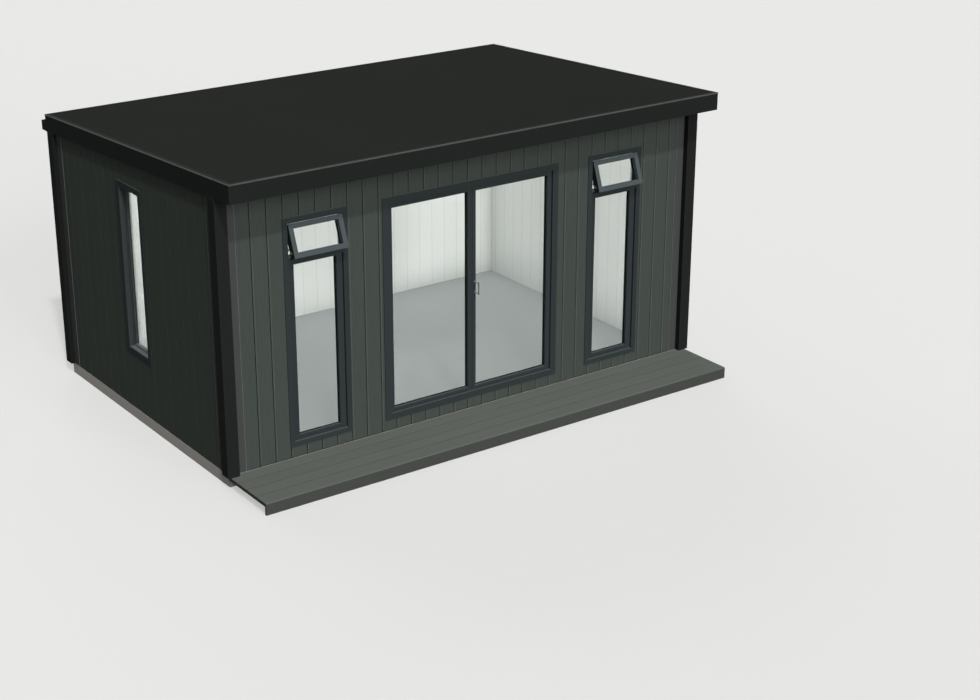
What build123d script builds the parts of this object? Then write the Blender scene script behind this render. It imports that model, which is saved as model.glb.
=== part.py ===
from build123d import *
from math import cos, radians, sin
import os

# Garden office pod, in millimetres.
# +Z is up, the glazed front faces -Y, and +X runs to the right along the front.
# The origin is on the ground, under the middle of the whole pod with its step and gutter.

# ---- Overall sizes -------------------------------------------------------------------------
ROOF_LENGTH = 5110.0            # along X, over the edge trim
ROOF_DEPTH = 3530.0             # along Y, over the edge trim
ROOF_FRONT_HEIGHT = 2740.0      # ground to the roof's front edge
ROOF_FALL = 190.0               # how much lower the back edge is
FRONT_OVERHANG = 265.0          # roof's front edge to the front faces of the corner posts
POST_BACK_SETBACK = 20.0        # back posts stand this far inside the roof's back edge
STEP_REACH = 315.0              # step's front edge beyond the roof's front edge

# ---- Roof ----------------------------------------------------------------------------------
FASCIA_DEPTH = 165.0
FASCIA_THICKNESS = 22.0
MEMBRANE_THICKNESS = 4.0
SOFFIT_THICKNESS = 12.0
TRIM_THICKNESS = 3.0            # sheet metal of the roof's edge trim
TRIM_LIP = 12.0                 # how far the trim turns down over the fascia
TRIM_WIDTH = 45.0               # how far the trim reaches in over the membrane
GUTTER_WIDTH = 85.0
GUTTER_HEIGHT = 90.0
GUTTER_WALL = 3.0
GUTTER_DROP = 72.0              # roof's back edge to the gutter's rim
OUTLET_RADIUS = 34.0
OUTLET_LENGTH = 60.0
OUTLET_INSET = 260.0            # outlet's middle from the gutter's right end

# ---- Walls ---------------------------------------------------------------------------------
POST_PROUD_ENDS = 58.0          # corner posts stand out from the front and back cladding
POST_PROUD_SIDES = 40.0         # corner posts stand out from the side cladding
POST_WIDTH = 112.0
POST_FLANGE_SIDES = 106.0       # thin flashing beyond a post's leg on a side wall
POST_FLANGE_ENDS = 93.0         # thin flashing beyond a post's leg on the front or back wall
FLANGE_THICKNESS = 3.0
POST_CLEARANCE = 3.0            # top of the step to the underside of the posts
CLADDING_THICKNESS = 22.0
WALL_THICKNESS = 90.0           # insulated wall between cladding and lining
LINING_THICKNESS = 12.0
LINING_GAP = 2.0                # joint between the lining boards of two walls
CEILING_THICKNESS = 12.0

# ---- Base and floor --------------------------------------------------------------------------
PLINTH_HEIGHT = 106.0
JOIST_COUNT = 8
JOIST_WIDTH = 50.0
JOIST_CLEARANCE = 10.0          # ground to the underside of the joists
FLOOR_HEIGHT = 78.0             # ground to the top of the floor's finish
FLOOR_PANEL_THICKNESS = 24.0
FLOOR_FINISH_THICKNESS = 6.0

# ---- Openings --------------------------------------------------------------------------------
SILL_HEIGHT = 210.0             # underside of the door and window frames
HEAD_HEIGHT = 2262.0            # top of the door and window frames
DOOR_WIDTH = 1888.0
WINDOW_WIDTH = 624.0
WINDOW_GAP = 347.0              # between the door's frame and each front window's frame
SIDE_WINDOW_WIDTH = 480.0
SIDE_WINDOW_SILL = 650.0
SIDE_WINDOW_CENTRE = 1926.0     # from the roof's front edge

# ---- Windows -----------------------------------------------------------------------------------
FRAME_FACE = 48.0
FRAME_PROUD = 8.0               # frames stand out from the cladding
WINDOW_FRAME_DEPTH = 90.0
SASH_SETBACK = 22.0             # sash face behind the frame face
SASH_DEPTH = 50.0
SASH_FACE = 58.0
SASH_HEAD_FACE = 24.0           # top rail of a fixed sash, under the transom
SASH_FOOT_FACE = 44.0           # bottom rail of a fixed sash
GLASS_THICKNESS = 24.0
GLASS_REBATE = 8.0              # glass reaches into its sash
GLASS_SETBACK = 22.0            # glass behind the sash face
VENT_HEIGHT = 300.0             # between the frame's head and the transom
VENT_FACE = 44.0
VENT_DEPTH = 70.0
VENT_GLASS_SETBACK = 42.0       # a vent's glass behind its sash face
TRANSOM_FACE = 48.0
VENT_ANGLE = 20.0               # the vents stand open by this angle
VENT_GAP = 4.0
SIDE_FRAME_FACE = 57.0          # the left wall's window is glazed into its frame
SIDE_BEAD_FACE = 11.0
SIDE_BEAD_SETBACK = 45.0        # bead behind the frame face
SIDE_GLASS_SETBACK = 59.0       # glass behind the frame face
STAY_WIDTH = 12.0
STAY_PLAY = 0.5                 # between a stay and the frame or the sash beside it
STAY_FRAME_DROP = 200.0         # hinge line to the stay's pivot on the frame
STAY_SASH_DROP = 250.0          # hinge line to the stay's pivot on the sash
STAY_FRAME_DEPTH = 40.0         # frame face to the stay's pivot on the frame

# ---- Double door ---------------------------------------------------------------------------------
DOOR_FRAME_FACE = 62.0
DOOR_STOP_DEPTH = 16.0          # outer stop that the leaves close against
DOOR_STOP_LAP = 12.0            # how far the stop stands in from the rest of the frame
DOOR_GAP = 6.0                  # around each leaf
DOOR_FRAME_DEPTH = 90.0
MEETING_GAP = 8.0               # between the two leaves
MEETING_STILE = 40.0
LEAF_STILE = 52.0
LEAF_FOOT_FACE = 42.0           # bottom rail of a leaf
HINGE_PLAY = 0.3                # between a hinge barrel and the frame or the leaf
HINGE_LENGTH = 100.0
HINGE_HEIGHTS = (200.0, 960.0, 1720.0)      # lower edge of the leaf to the hinges' middles
HANDLE_LENGTH = 121.0
HANDLE_REACH = 60.0
HANDLE_RADIUS = 6.0
HANDLE_FOOT_RADIUS = 4.5
HANDLE_HEIGHT = 1262.0
HANDLE_INSET = 27.0             # leaf's meeting edge to the handle

# ---- Step ------------------------------------------------------------------------------------
STEP_HEIGHT = 107.0
STEP_END_INSET = 30.0           # step's ends inside the outer faces of the posts
STEP_BOARDS = 4
BOARD_GAP = 5.0
BOARD_THICKNESS = 32.0
STEP_FASCIA_THICKNESS = 22.0
BEARER_COUNT = 9
BEARER_WIDTH = 45.0
BEARER_END_INSET = 150.0

CUT = 1.0                       # overshoot of a cutting block past the face that it cuts

# ---- Places worked out from the sizes ----------------------------------------------------------
WHOLE_DEPTH = STEP_REACH + ROOF_DEPTH + GUTTER_WIDTH
ROOF_Y0 = STEP_REACH - WHOLE_DEPTH / 2
ROOF_Y1 = ROOF_Y0 + ROOF_DEPTH
ROOF_X1 = ROOF_LENGTH / 2
POST_X1 = ROOF_X1 - TRIM_THICKNESS
POST_Y0 = ROOF_Y0 + FRONT_OVERHANG
POST_Y1 = ROOF_Y1 - POST_BACK_SETBACK
CLAD_X1 = POST_X1 - POST_PROUD_SIDES
CLAD_Y0 = POST_Y0 + POST_PROUD_ENDS
CLAD_Y1 = POST_Y1 - POST_PROUD_ENDS
WALL_X1 = CLAD_X1 - CLADDING_THICKNESS
WALL_Y0 = CLAD_Y0 + CLADDING_THICKNESS
WALL_Y1 = CLAD_Y1 - CLADDING_THICKNESS
LINED_X1 = WALL_X1 - WALL_THICKNESS
LINED_Y0 = WALL_Y0 + WALL_THICKNESS
LINED_Y1 = WALL_Y1 - WALL_THICKNESS
ROOM_X1 = LINED_X1 - LINING_THICKNESS
ROOM_Y0 = LINED_Y0 + LINING_THICKNESS
ROOM_Y1 = LINED_Y1 - LINING_THICKNESS
PANEL_TOP = FLOOR_HEIGHT - FLOOR_FINISH_THICKNESS
PANEL_UNDERSIDE = PANEL_TOP - FLOOR_PANEL_THICKNESS
FASCIA_X1 = ROOF_X1 - TRIM_THICKNESS
FASCIA_Y0 = ROOF_Y0 + TRIM_THICKNESS
FASCIA_Y1 = ROOF_Y1 - TRIM_THICKNESS
PANEL_DROP = TRIM_THICKNESS + MEMBRANE_THICKNESS
UNDER_ROOF_DROP = FASCIA_DEPTH - SOFFIT_THICKNESS
FRAME_Y0 = CLAD_Y0 - FRAME_PROUD
SASH_Y0 = FRAME_Y0 + SASH_SETBACK
DOOR_X1 = DOOR_WIDTH / 2
WINDOW_CENTRE = DOOR_X1 + WINDOW_GAP + WINDOW_WIDTH / 2
SIDE_WINDOW_Y0 = ROOF_Y0 + SIDE_WINDOW_CENTRE - SIDE_WINDOW_WIDTH / 2
SIDE_WINDOW_Y1 = SIDE_WINDOW_Y0 + SIDE_WINDOW_WIDTH
SIDE_FRAME_X0 = -CLAD_X1 - FRAME_PROUD
TRANSOM_Z1 = HEAD_HEIGHT - FRAME_FACE - VENT_HEIGHT
TRANSOM_Z0 = TRANSOM_Z1 - TRANSOM_FACE
DOOR_RING = DOOR_FRAME_FACE - DOOR_STOP_LAP
LEAF_Y0 = FRAME_Y0 + DOOR_STOP_DEPTH + DOOR_GAP
LEAF_Y1 = LEAF_Y0 + SASH_DEPTH
LEAF_X0 = MEETING_GAP / 2
LEAF_X1 = DOOR_X1 - DOOR_RING - DOOR_GAP
LEAF_Z0 = SILL_HEIGHT + DOOR_RING + DOOR_GAP
LEAF_Z1 = HEAD_HEIGHT - DOOR_RING - DOOR_GAP
HINGE_X = LEAF_X1
HINGE_Y = LEAF_Y1 + DOOR_GAP
STEP_X1 = POST_X1 - STEP_END_INSET
STEP_Y0 = ROOF_Y0 - STEP_REACH
BOARD_UNDERSIDE = STEP_HEIGHT - BOARD_THICKNESS


def block(x0, x1, y0, y1, z0, z1):
    """A box between two corners."""
    return Pos((x0 + x1) / 2, (y0 + y1) / 2, (z0 + z1) / 2) * Box(x1 - x0, y1 - y0, z1 - z0)


def roof_height(y, drop=0.0):
    """Height of the roof's top surface at y, less a drop."""
    return ROOF_FRONT_HEIGHT - ROOF_FALL * (y - ROOF_Y0) / ROOF_DEPTH - drop


def prism(outline, x0, x1):
    """An outline in the YZ plane, carried along X."""
    return Pos(x0, 0, 0) * extrude(Plane.YZ * Polygon(*outline, align=None), amount=x1 - x0, dir=(1, 0, 0))


def sloped_slab(x0, x1, y0, y1, drop_top, drop_bottom):
    """A slab that follows the roof's slope between two drops below its surface."""
    outline = [(y0, roof_height(y0, drop_bottom)), (y1, roof_height(y1, drop_bottom)),
               (y1, roof_height(y1, drop_top)), (y0, roof_height(y0, drop_top))]
    return prism(outline, x0, x1)


def up_to_roof(x0, x1, y0, y1, z0, drop):
    """An upright block whose top follows the roof's slope."""
    outline = [(y0, z0), (y1, z0), (y1, roof_height(y1, drop)), (y0, roof_height(y0, drop))]
    return prism(outline, x0, x1)


def front_holes(y0, y1):
    """The openings of the door and the two front windows, between two depths."""
    holes = [block(-DOOR_X1, DOOR_X1, y0, y1, SILL_HEIGHT, HEAD_HEIGHT)]
    for centre in (-WINDOW_CENTRE, WINDOW_CENTRE):
        x0 = centre - WINDOW_WIDTH / 2
        holes.append(block(x0, x0 + WINDOW_WIDTH, y0, y1, SILL_HEIGHT, HEAD_HEIGHT))
    return holes


def side_hole(x0, x1):
    """The opening of the window in the left wall."""
    return block(x0, x1, SIDE_WINDOW_Y0, SIDE_WINDOW_Y1, SIDE_WINDOW_SILL, HEAD_HEIGHT)


def rectangle_ring(x0, x1, z0, z1, y0, y1, left, right, bottom, top):
    """A rectangular frame in the XZ plane with its own width on each side."""
    hole = block(x0 + left, x1 - right, y0 - CUT, y1 + CUT, z0 + bottom, z1 - top)
    return block(x0, x1, y0, y1, z0, z1) - hole


# ---- Base and floor ---------------------------------------------------------------------------
def make_plinth():
    """A ring under the walls and their cladding, open where the floor lies."""
    ring = block(-CLAD_X1, CLAD_X1, CLAD_Y0, CLAD_Y1, 0, PLINTH_HEIGHT)
    return ring - block(-LINED_X1, LINED_X1, LINED_Y0, LINED_Y1, -CUT, PLINTH_HEIGHT + CUT)


def make_floor_joists():
    pitch = 2 * LINED_X1 / (JOIST_COUNT + 1)
    joists = []
    for index in range(JOIST_COUNT):
        x = -LINED_X1 + (index + 1) * pitch
        joists.append(block(x - JOIST_WIDTH / 2, x + JOIST_WIDTH / 2, LINED_Y0, LINED_Y1,
                            JOIST_CLEARANCE, PANEL_UNDERSIDE))
    return joists


def make_floor_panel():
    return block(-LINED_X1, LINED_X1, LINED_Y0, LINED_Y1, PANEL_UNDERSIDE, PANEL_TOP)


def make_floor_finish():
    return block(-ROOM_X1, ROOM_X1, ROOM_Y0, ROOM_Y1, PANEL_TOP, FLOOR_HEIGHT)


# ---- Walls --------------------------------------------------------------------------------------
def make_front_wall(side):
    """The front wall's piece beside the door, with its window cut through."""
    if side < 0:
        wall = up_to_roof(-WALL_X1, -DOOR_X1, WALL_Y0, LINED_Y0, PLINTH_HEIGHT, UNDER_ROOF_DROP)
    else:
        wall = up_to_roof(DOOR_X1, WALL_X1, WALL_Y0, LINED_Y0, PLINTH_HEIGHT, UNDER_ROOF_DROP)
    for hole in front_holes(WALL_Y0 - CUT, LINED_Y0 + CUT):
        wall -= hole
    return wall


def make_front_wall_over_door():
    return up_to_roof(-DOOR_X1, DOOR_X1, WALL_Y0, LINED_Y0, HEAD_HEIGHT, UNDER_ROOF_DROP)


def make_front_wall_under_door():
    return block(-DOOR_X1, DOOR_X1, WALL_Y0, LINED_Y0, PLINTH_HEIGHT, SILL_HEIGHT)


def make_side_wall(side):
    x0, x1 = (-WALL_X1, -LINED_X1) if side < 0 else (LINED_X1, WALL_X1)
    wall = up_to_roof(x0, x1, LINED_Y0, LINED_Y1, PLINTH_HEIGHT, UNDER_ROOF_DROP)
    return wall - side_hole(x0 - CUT, x1 + CUT) if side < 0 else wall


def make_back_wall():
    return up_to_roof(-WALL_X1, WALL_X1, LINED_Y1, WALL_Y1, PLINTH_HEIGHT, UNDER_ROOF_DROP)


def make_front_cladding():
    skin = up_to_roof(-CLAD_X1, CLAD_X1, CLAD_Y0, WALL_Y0, PLINTH_HEIGHT, UNDER_ROOF_DROP)
    for hole in front_holes(CLAD_Y0 - CUT, WALL_Y0 + CUT):
        skin -= hole
    return skin


def make_back_cladding():
    return up_to_roof(-CLAD_X1, CLAD_X1, WALL_Y1, CLAD_Y1, PLINTH_HEIGHT, UNDER_ROOF_DROP)


def make_side_cladding(side):
    x0, x1 = (-CLAD_X1, -WALL_X1) if side < 0 else (WALL_X1, CLAD_X1)
    skin = up_to_roof(x0, x1, WALL_Y0, WALL_Y1, PLINTH_HEIGHT, UNDER_ROOF_DROP)
    return skin - side_hole(x0 - CUT, x1 + CUT) if side < 0 else skin


def make_wall_lining():
    """White lining boards on the four walls, standing on the floor panel."""
    drop = UNDER_ROOF_DROP + CEILING_THICKNESS
    front = up_to_roof(-LINED_X1, LINED_X1, LINED_Y0, ROOM_Y0, PANEL_TOP, drop)
    for hole in front_holes(LINED_Y0 - CUT, ROOM_Y0 + CUT):
        front -= hole
    back = up_to_roof(-LINED_X1, LINED_X1, ROOM_Y1, LINED_Y1, PANEL_TOP, drop)
    y0 = ROOM_Y0 + LINING_GAP
    y1 = ROOM_Y1 - LINING_GAP
    left = up_to_roof(-LINED_X1, -ROOM_X1, y0, y1, PANEL_TOP, drop)
    left -= side_hole(-LINED_X1 - CUT, -ROOM_X1 + CUT)
    right = up_to_roof(ROOM_X1, LINED_X1, y0, y1, PANEL_TOP, drop)
    return [front, back, left, right]


def make_corner_post(side, end):
    """An L-shaped corner post with a thin flashing leg on each wall; side is X, end is Y."""
    side_reach = POST_WIDTH + POST_FLANGE_SIDES
    end_reach = POST_WIDTH + POST_FLANGE_ENDS
    side_leg = POST_PROUD_SIDES - FLANGE_THICKNESS
    end_leg = POST_PROUD_ENDS - FLANGE_THICKNESS
    outline = [(0, 0), (POST_WIDTH, 0), (POST_WIDTH, end_leg), (end_reach, end_leg),
               (end_reach, POST_PROUD_ENDS), (POST_PROUD_SIDES, POST_PROUD_ENDS),
               (POST_PROUD_SIDES, side_reach), (side_leg, side_reach), (side_leg, POST_WIDTH),
               (0, POST_WIDTH)]
    corner_y = POST_Y0 if end < 0 else POST_Y1
    points = [(side * (POST_X1 - x), corner_y - end * y) for x, y in outline]
    section = Polygon(*points, align=None)
    post = Pos(0, 0, STEP_HEIGHT + POST_CLEARANCE) * extrude(section, amount=ROOF_FRONT_HEIGHT, dir=(0, 0, 1))
    y0 = corner_y if end < 0 else corner_y - side_reach
    return post & up_to_roof(-POST_X1, POST_X1, y0, y0 + side_reach, 0, FASCIA_DEPTH)


# ---- Roof ---------------------------------------------------------------------------------------
def make_roof_panel():
    x1 = FASCIA_X1 - FASCIA_THICKNESS
    y0 = FASCIA_Y0 + FASCIA_THICKNESS
    y1 = FASCIA_Y1 - FASCIA_THICKNESS
    return sloped_slab(-x1, x1, y0, y1, PANEL_DROP, UNDER_ROOF_DROP)


def make_roof_membrane():
    return sloped_slab(-FASCIA_X1, FASCIA_X1, FASCIA_Y0, FASCIA_Y1, TRIM_THICKNESS, PANEL_DROP)


def make_front_fascia():
    y1 = FASCIA_Y0 + FASCIA_THICKNESS
    return sloped_slab(-FASCIA_X1, FASCIA_X1, FASCIA_Y0, y1, PANEL_DROP, FASCIA_DEPTH)


def make_back_fascia():
    y0 = FASCIA_Y1 - FASCIA_THICKNESS
    return sloped_slab(-FASCIA_X1, FASCIA_X1, y0, FASCIA_Y1, PANEL_DROP, FASCIA_DEPTH)


def make_side_fascia(side):
    x0 = -FASCIA_X1 if side < 0 else FASCIA_X1 - FASCIA_THICKNESS
    return sloped_slab(x0, x0 + FASCIA_THICKNESS, FASCIA_Y0 + FASCIA_THICKNESS,
                       FASCIA_Y1 - FASCIA_THICKNESS, PANEL_DROP, FASCIA_DEPTH)


def make_edge_trim():
    """Sheet metal over the edge of the membrane, turned down over the fascias."""
    cap = sloped_slab(-ROOF_X1, ROOF_X1, ROOF_Y0, ROOF_Y1, 0, TRIM_LIP)
    cap -= sloped_slab(-FASCIA_X1, FASCIA_X1, FASCIA_Y0, FASCIA_Y1, TRIM_THICKNESS, 2 * TRIM_LIP)
    x1 = ROOF_X1 - TRIM_WIDTH
    return cap - sloped_slab(-x1, x1, ROOF_Y0 + TRIM_WIDTH, ROOF_Y1 - TRIM_WIDTH, -TRIM_LIP, TRIM_LIP)


def make_soffit():
    """Boards that close the gap between the walls and the fascias."""
    x1 = FASCIA_X1 - FASCIA_THICKNESS
    plate = sloped_slab(-x1, x1, FASCIA_Y0 + FASCIA_THICKNESS, FASCIA_Y1 - FASCIA_THICKNESS,
                        UNDER_ROOF_DROP, FASCIA_DEPTH)
    return plate - sloped_slab(-CLAD_X1, CLAD_X1, CLAD_Y0, CLAD_Y1, 0, 2 * FASCIA_DEPTH)


def make_ceiling():
    return sloped_slab(-LINED_X1, LINED_X1, LINED_Y0, LINED_Y1, UNDER_ROOF_DROP,
                       UNDER_ROOF_DROP + CEILING_THICKNESS)


def make_gutter():
    """A level box gutter along the back fascia with closed ends and an outlet below."""
    top = roof_height(ROOF_Y1, GUTTER_DROP)
    bottom = top - GUTTER_HEIGHT
    y0 = FASCIA_Y1
    y1 = ROOF_Y1 + GUTTER_WIDTH
    trough = block(-FASCIA_X1, FASCIA_X1, y0, y1, bottom, top)
    trough -= block(-FASCIA_X1 + GUTTER_WALL, FASCIA_X1 - GUTTER_WALL, y0 + GUTTER_WALL, y1 - GUTTER_WALL,
                    bottom + GUTTER_WALL, top + CUT)
    x = FASCIA_X1 - OUTLET_INSET
    y = (y0 + y1) / 2
    outlet = Pos(x, y, bottom - OUTLET_LENGTH / 2) * Cylinder(OUTLET_RADIUS, OUTLET_LENGTH)
    bore_height = OUTLET_LENGTH + GUTTER_WALL + 2 * CUT
    bore_z = bottom - OUTLET_LENGTH - CUT + bore_height / 2
    bore = Pos(x, y, bore_z) * Cylinder(OUTLET_RADIUS - GUTTER_WALL, bore_height)
    return trough + outlet - bore


# ---- Windows ------------------------------------------------------------------------------------
def make_window_frame(centre):
    """Outer frame, transom and the fixed lower sash of a front window."""
    x0 = centre - WINDOW_WIDTH / 2
    x1 = centre + WINDOW_WIDTH / 2
    y1 = FRAME_Y0 + WINDOW_FRAME_DEPTH
    frame = rectangle_ring(x0, x1, SILL_HEIGHT, HEAD_HEIGHT, FRAME_Y0, y1,
                           FRAME_FACE, FRAME_FACE, FRAME_FACE, FRAME_FACE)
    frame += block(x0 + FRAME_FACE, x1 - FRAME_FACE, FRAME_Y0, y1, TRANSOM_Z0, TRANSOM_Z1)
    frame += rectangle_ring(x0 + FRAME_FACE, x1 - FRAME_FACE, SILL_HEIGHT + FRAME_FACE, TRANSOM_Z0,
                            SASH_Y0, SASH_Y0 + SASH_DEPTH, SASH_FACE, SASH_FACE, SASH_FOOT_FACE, SASH_HEAD_FACE)
    return frame - lower_glass_block(centre)


def lower_glass_block(centre):
    """The fixed lower pane of a front window."""
    edge = FRAME_FACE + SASH_FACE - GLASS_REBATE
    half = WINDOW_WIDTH / 2 - edge
    y0 = SASH_Y0 + GLASS_SETBACK
    return block(centre - half, centre + half, y0, y0 + GLASS_THICKNESS,
                 SILL_HEIGHT + FRAME_FACE + SASH_FOOT_FACE - GLASS_REBATE,
                 TRANSOM_Z0 - SASH_HEAD_FACE + GLASS_REBATE)


def vent_place(centre):
    """Where a vent's top edge hinges, and the tilt at which it stands open."""
    return Pos(centre, FRAME_Y0, HEAD_HEIGHT - FRAME_FACE - VENT_GAP) * Rot(-VENT_ANGLE, 0, 0)


def vent_sash_block():
    """A top-hung vent sash, hanging from its hinge line at the origin."""
    half = WINDOW_WIDTH / 2 - FRAME_FACE - VENT_GAP
    height = VENT_HEIGHT - 2 * VENT_GAP
    return rectangle_ring(-half, half, -height, 0, 0, VENT_DEPTH, VENT_FACE, VENT_FACE, VENT_FACE, VENT_FACE)


def vent_glass_block():
    """The pane of a vent, before it is tilted."""
    edge = VENT_FACE - GLASS_REBATE
    half = WINDOW_WIDTH / 2 - FRAME_FACE - VENT_GAP - edge
    height = VENT_HEIGHT - 2 * VENT_GAP
    y0 = VENT_GLASS_SETBACK
    return block(-half, half, y0, y0 + GLASS_THICKNESS, edge - height, -edge)


def make_vent(centre):
    return vent_place(centre) * (vent_sash_block() - vent_glass_block())


def make_window_glass(centre):
    return [lower_glass_block(centre), vent_place(centre) * vent_glass_block()]


def make_vent_stays():
    """Flat bars that hold the vents open, one on each side of each vent."""
    hinge_z = HEAD_HEIGHT - FRAME_FACE - VENT_GAP
    tilt = radians(VENT_ANGLE)
    frame_y = FRAME_Y0 + STAY_FRAME_DEPTH
    frame_z = hinge_z - STAY_FRAME_DROP
    sash_y = FRAME_Y0 + VENT_DEPTH / 2 * cos(tilt) - STAY_SASH_DROP * sin(tilt)
    sash_z = hinge_z - VENT_DEPTH / 2 * sin(tilt) - STAY_SASH_DROP * cos(tilt)
    half = STAY_WIDTH / 2
    outline = [(frame_y, frame_z - half), (frame_y, frame_z + half), (sash_y, sash_z + half),
               (sash_y, sash_z - half)]
    thickness = VENT_GAP - 2 * STAY_PLAY
    reach = WINDOW_WIDTH / 2 - FRAME_FACE - STAY_PLAY
    stays = []
    for centre in (-WINDOW_CENTRE, WINDOW_CENTRE):
        stays.append(prism(outline, centre - reach, centre - reach + thickness))
        stays.append(prism(outline, centre + reach - thickness, centre + reach))
    return stays


def side_window_ring(x0, depth, inset, face):
    """A rectangular frame in the left wall, inset from the window's outline."""
    hole = block(x0 - CUT, x0 + depth + CUT, SIDE_WINDOW_Y0 + inset + face, SIDE_WINDOW_Y1 - inset - face,
                 SIDE_WINDOW_SILL + inset + face, HEAD_HEIGHT - inset - face)
    return block(x0, x0 + depth, SIDE_WINDOW_Y0 + inset, SIDE_WINDOW_Y1 - inset,
                 SIDE_WINDOW_SILL + inset, HEAD_HEIGHT - inset) - hole


def make_side_window_frame():
    """The fixed window in the left wall, with a bead round its glass."""
    frame = side_window_ring(SIDE_FRAME_X0, WINDOW_FRAME_DEPTH, 0, SIDE_FRAME_FACE)
    bead_depth = WINDOW_FRAME_DEPTH - SIDE_BEAD_SETBACK
    bead = side_window_ring(SIDE_FRAME_X0 + SIDE_BEAD_SETBACK, bead_depth, SIDE_FRAME_FACE, SIDE_BEAD_FACE)
    return frame + bead - make_side_window_glass()


def make_side_window_glass():
    edge = SIDE_FRAME_FACE + SIDE_BEAD_FACE - GLASS_REBATE
    x0 = SIDE_FRAME_X0 + SIDE_GLASS_SETBACK
    return block(x0, x0 + GLASS_THICKNESS, SIDE_WINDOW_Y0 + edge, SIDE_WINDOW_Y1 - edge,
                 SIDE_WINDOW_SILL + edge, HEAD_HEIGHT - edge)


# ---- Door ---------------------------------------------------------------------------------------
def make_door_frame():
    """Outer frame whose front edge is the stop that the two leaves close against."""
    stop_y1 = FRAME_Y0 + DOOR_STOP_DEPTH
    stop = rectangle_ring(-DOOR_X1, DOOR_X1, SILL_HEIGHT, HEAD_HEIGHT, FRAME_Y0, stop_y1,
                          DOOR_FRAME_FACE, DOOR_FRAME_FACE, DOOR_FRAME_FACE, DOOR_FRAME_FACE)
    ring = rectangle_ring(-DOOR_X1, DOOR_X1, SILL_HEIGHT, HEAD_HEIGHT, stop_y1, FRAME_Y0 + DOOR_FRAME_DEPTH,
                          DOOR_RING, DOOR_RING, DOOR_RING, DOOR_RING)
    return stop + ring


def right_glass_block():
    """The pane of the right leaf."""
    y0 = LEAF_Y0 + GLASS_SETBACK
    edge = LEAF_STILE - GLASS_REBATE
    return block(LEAF_X0 + MEETING_STILE - GLASS_REBATE, LEAF_X1 - edge, y0, y0 + GLASS_THICKNESS,
                 LEAF_Z0 + LEAF_FOOT_FACE - GLASS_REBATE, LEAF_Z1 - edge)


def make_right_leaf():
    leaf = rectangle_ring(LEAF_X0, LEAF_X1, LEAF_Z0, LEAF_Z1, LEAF_Y0, LEAF_Y1,
                          MEETING_STILE, LEAF_STILE, LEAF_FOOT_FACE, LEAF_STILE)
    return leaf - right_glass_block()


def mirrored(shape):
    """The same shape on the other side of the front's middle."""
    return mirror(shape, about=Plane.YZ)


def make_door_hinges():
    """Hinge barrels on the inside, between the frame and the leaves."""
    radius = DOOR_GAP - HINGE_PLAY
    barrels = []
    for side in (-1, 1):
        for height in HINGE_HEIGHTS:
            barrels.append(Pos(side * HINGE_X, HINGE_Y, LEAF_Z0 + height) * Cylinder(radius, HINGE_LENGTH))
    return barrels


def make_door_handles():
    """Upright pulls on the outside and the inside of the right leaf."""
    x = LEAF_X0 + HANDLE_INSET
    pulls = []
    for face, direction in ((LEAF_Y0, -1), (LEAF_Y1, 1)):
        y = face + direction * HANDLE_REACH
        pull = Pos(x, y, HANDLE_HEIGHT) * Cylinder(HANDLE_RADIUS, HANDLE_LENGTH)
        for end in (-1, 1):
            z = HANDLE_HEIGHT + end * (HANDLE_LENGTH / 2 - 2 * HANDLE_RADIUS)
            pull += Pos(x, (y + face) / 2, z) * Rot(90, 0, 0) * Cylinder(HANDLE_FOOT_RADIUS, HANDLE_REACH)
        pulls.append(pull)
    return pulls


# ---- Step ---------------------------------------------------------------------------------------
def make_step_boards():
    y0 = STEP_Y0 + STEP_FASCIA_THICKNESS
    pitch = (CLAD_Y0 - y0 + BOARD_GAP) / STEP_BOARDS
    boards = []
    for index in range(STEP_BOARDS):
        y = y0 + index * pitch
        boards.append(block(-STEP_X1, STEP_X1, y, y + pitch - BOARD_GAP, BOARD_UNDERSIDE, STEP_HEIGHT))
    return boards


def make_step_fascia():
    """Upright board along the step's front, from the ground to the top of the boards."""
    return block(-STEP_X1, STEP_X1, STEP_Y0, STEP_Y0 + STEP_FASCIA_THICKNESS, 0, STEP_HEIGHT)


def make_step_bearers():
    pitch = 2 * (STEP_X1 - BEARER_END_INSET) / (BEARER_COUNT - 1)
    bearers = []
    for index in range(BEARER_COUNT):
        x = -STEP_X1 + BEARER_END_INSET + index * pitch
        bearers.append(block(x - BEARER_WIDTH / 2, x + BEARER_WIDTH / 2, STEP_Y0 + STEP_FASCIA_THICKNESS,
                             CLAD_Y0, 0, BOARD_UNDERSIDE))
    return bearers


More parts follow.
